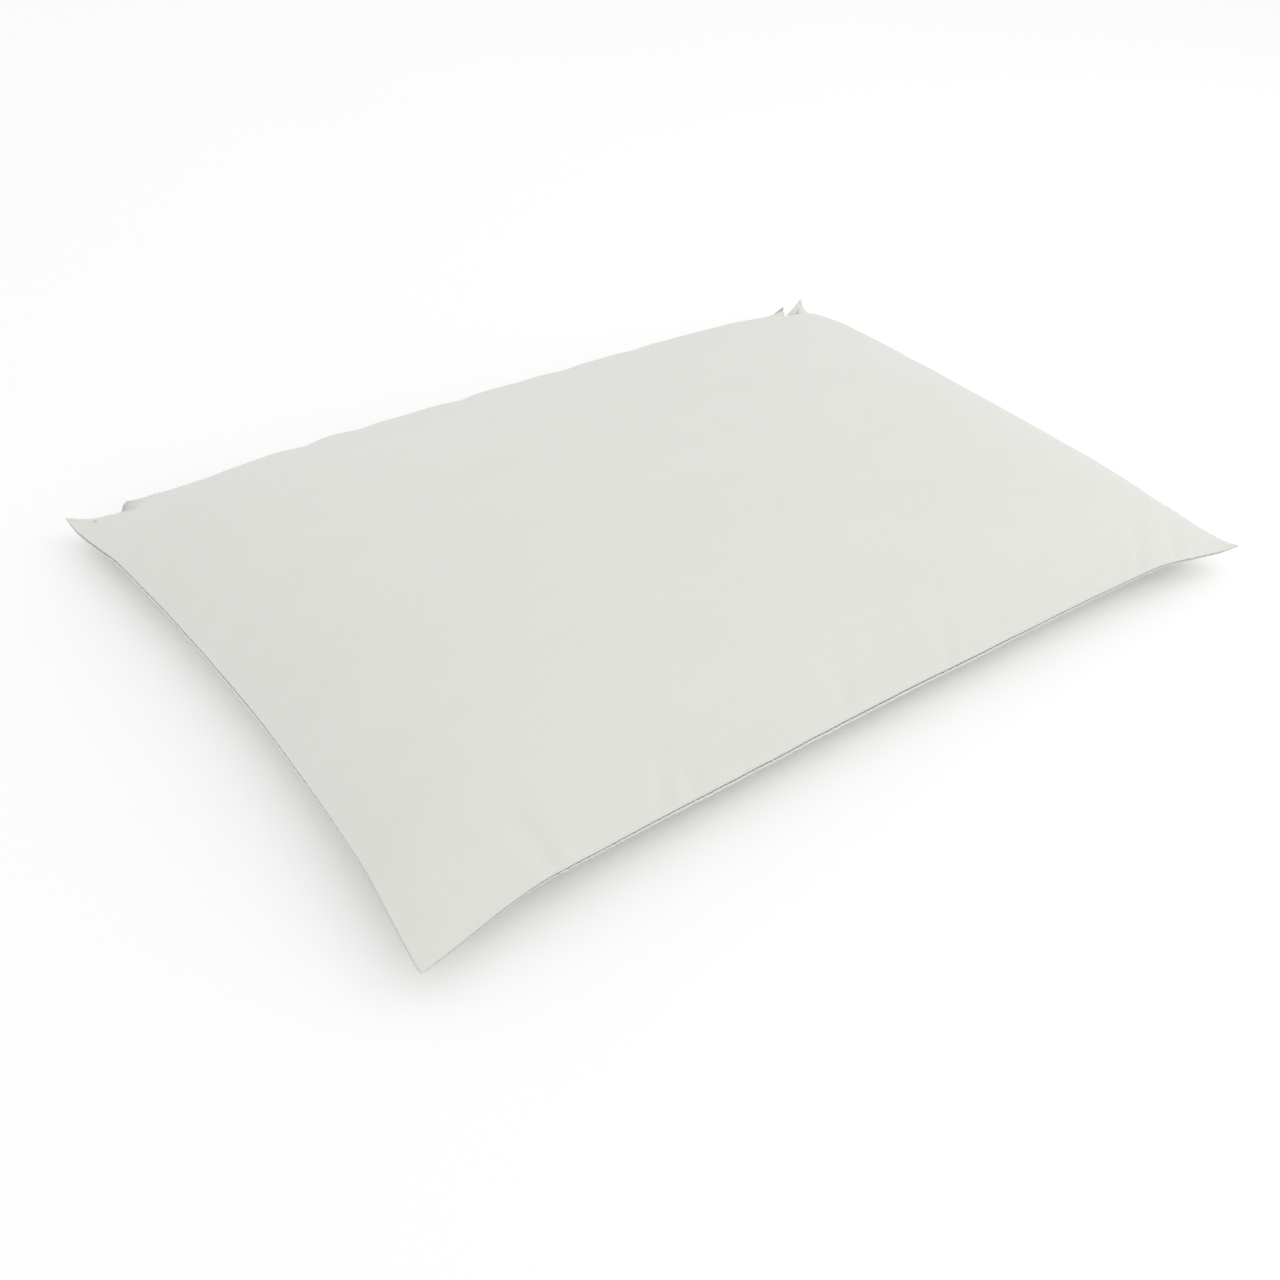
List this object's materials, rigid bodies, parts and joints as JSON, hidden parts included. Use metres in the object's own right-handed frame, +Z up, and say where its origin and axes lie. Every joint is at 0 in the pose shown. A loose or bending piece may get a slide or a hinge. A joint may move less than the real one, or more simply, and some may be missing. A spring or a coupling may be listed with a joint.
{
  "type": "bed pillow",
  "caption": "White cotton bed pillow, 50 by 70 cm, in a zipped cover with pointed corners, softly domed, with a coil zip in one long edge.",
  "frame": {"origin": "middle of the pillow's footprint, at the bed surface it rests on", "axes": "+X along the long edges towards the closed end of the zip, +Y across towards the long edge that holds the zip, +Z up"},
  "size_m": [0.712, 0.49, 0.092],
  "materials": {
    "cover_cotton": "plain fine weave, matt",
    "ticking": "plain weave, matt",
    "polyester_fibre": "soft loose fibre",
    "sewing_thread": "spun thread",
    "zip_tape": "woven tape",
    "zip_coil": "satin",
    "zip_metal": "satin enamel",
    "label_tape": "smooth woven tape, blank"
  },
  "bodies": {
    "pillow": {"cover_top_panel": "cover_cotton", "cover_bottom_panel": "cover_cotton", "cover_seam_thread": "sewing_thread", "zip_stitching_upper": "sewing_thread", "zip_stitching_lower": "sewing_thread", "zip_tape_upper": "zip_tape", "zip_tape_lower": "zip_tape", "zip_coil_upper": "zip_coil", "zip_coil_lower": "zip_coil", "zip_top_stops": "zip_metal", "zip_bottom_stop": "zip_metal", "inner_ticking_top": "ticking", "inner_ticking_bottom": "ticking", "inner_seam_thread": "sewing_thread", "fibre_fill": "polyester_fibre", "care_label": "label_tape"},
    "zip_slider": {"zip_slider_body": "zip_metal"},
    "zip_pull": {"zip_pull_tab": "zip_metal"}
  },
  "joints": [
    {"name": "zip_slide", "type": "slide", "parent": "pillow", "child": "zip_slider", "axis": [1, 0, 0], "range_m": [-0.604, 0]},
    {"name": "pull_flip", "type": "hinge", "parent": "zip_slider", "child": "zip_pull", "pos_m": [0.3045, 0.2344, 0.022], "axis": [0, 0, 1], "range_deg": [-6, 136]}
  ]
}
